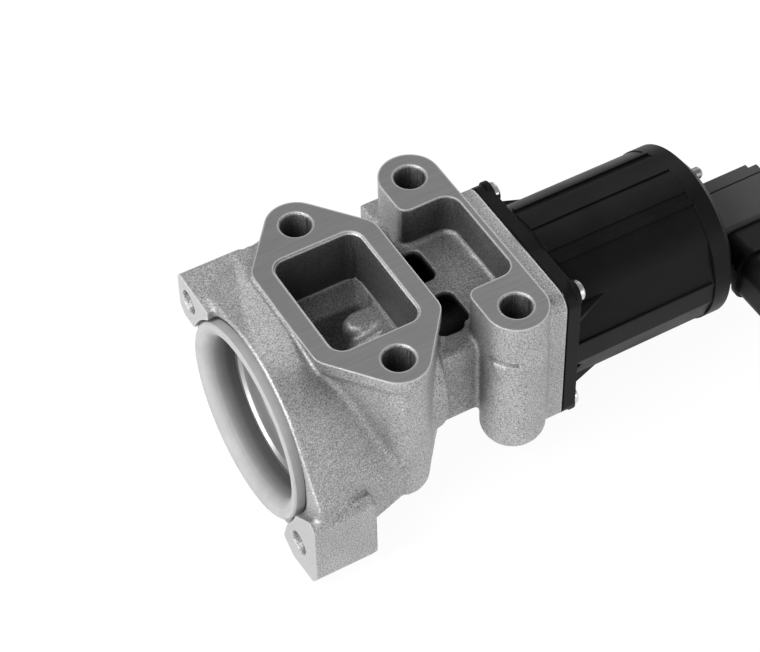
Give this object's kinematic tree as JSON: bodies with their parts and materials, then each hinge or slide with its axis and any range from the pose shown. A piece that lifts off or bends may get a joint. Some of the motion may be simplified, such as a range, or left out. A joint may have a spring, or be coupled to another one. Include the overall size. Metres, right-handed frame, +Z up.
{
  "type": "egr valve",
  "caption": "Exhaust gas recirculation valve: cast housing with round mouth and flanged port, poppet valve, in-line electric actuator with connector.",
  "frame": {"origin": "centre of the round mouth on the valve axis, level with the front face of the mouth ring and the two lug faces", "axes": "+X along the valve axis from the mouth to the actuator, +Z up out of the machined bolt faces, +Y to the side away from the connector hood"},
  "size_m": [0.1787, 0.0854, 0.0644],
  "materials": {
    "cast_aluminium": "blasted casting",
    "ring_steel": "turned stainless steel",
    "graphite_seal": "graphite faced seal",
    "bush_bronze": "sintered bronze",
    "seal_rubber": "heat proof rubber",
    "spring_steel": "oil tempered spring wire",
    "gasket": "fibre gasket",
    "valve_steel": "ground heat resisting steel",
    "black_plastic": "glass filled nylon",
    "zinc_steel": "bright zinc plated steel",
    "bearing_steel": "polished bearing steel",
    "core_steel": "laminated electrical steel",
    "copper": "enamelled copper wire",
    "magnet": "bonded magnet",
    "nut_brass": "turned brass",
    "guide_plastic": "acetal",
    "board": "circuit board",
    "pin_brass": "tin plated brass",
    "socket_seal": "silicone seal"
  },
  "bodies": {
    "valve_body": {"housing": "cast_aluminium", "mouth_ring": "ring_steel", "mouth_seal": "graphite_seal", "guide_bush": "bush_bronze", "shaft_seal": "seal_rubber", "spring_seat": "spring_steel", "actuator_gasket": "gasket", "return_spring": "spring_steel", "actuator_housing": "black_plastic", "screw_sleeves": "zinc_steel", "actuator_screws": "zinc_steel", "front_bearing": "bearing_steel", "rear_bearing": "bearing_steel", "stator_core": "core_steel", "stator_coils": "copper", "screw_guide": "guide_plastic", "control_board": "board", "end_cap": "black_plastic", "end_screws": "core_steel", "terminal_cover": "black_plastic", "connector_shell": "black_plastic", "connector_pins": "pin_brass", "connector_seal": "socket_seal", "wave_washer": "spring_steel"},
    "valve": {"valve_disc": "valve_steel", "valve_shaft": "valve_steel", "disc_collar": "valve_steel", "spring_retainer": "spring_steel", "retainer_clip": "spring_steel"},
    "rotor": {"rotor_magnet": "magnet", "rotor_nut": "nut_brass"},
    "drive_screw": {"lead_screw": "valve_steel"}
  },
  "joints": [
    {"name": "rotor_spin", "type": "hinge", "parent": "valve_body", "child": "rotor", "pos_m": [0.128, 0, 0], "axis": [1, 0, 0], "range_deg": [0, 360]},
    {"name": "screw_slide", "type": "slide", "parent": "valve_body", "child": "drive_screw", "axis": [-1, 0, 0], "range_m": [0, 0.006]},
    {"name": "valve_lift", "type": "slide", "parent": "valve_body", "child": "valve", "axis": [-1, 0, 0], "range_m": [0, 0.006], "stiffness_N_per_m": 2500, "springref_m": -0.012, "deforming": ["return_spring"]}
  ],
  "couplings": [
    {"joint": "rotor_spin", "follows": "valve_lift", "rad_per_m": 1047.2},
    {"joint": "screw_slide", "follows": "valve_lift", "ratio": 1}
  ]
}
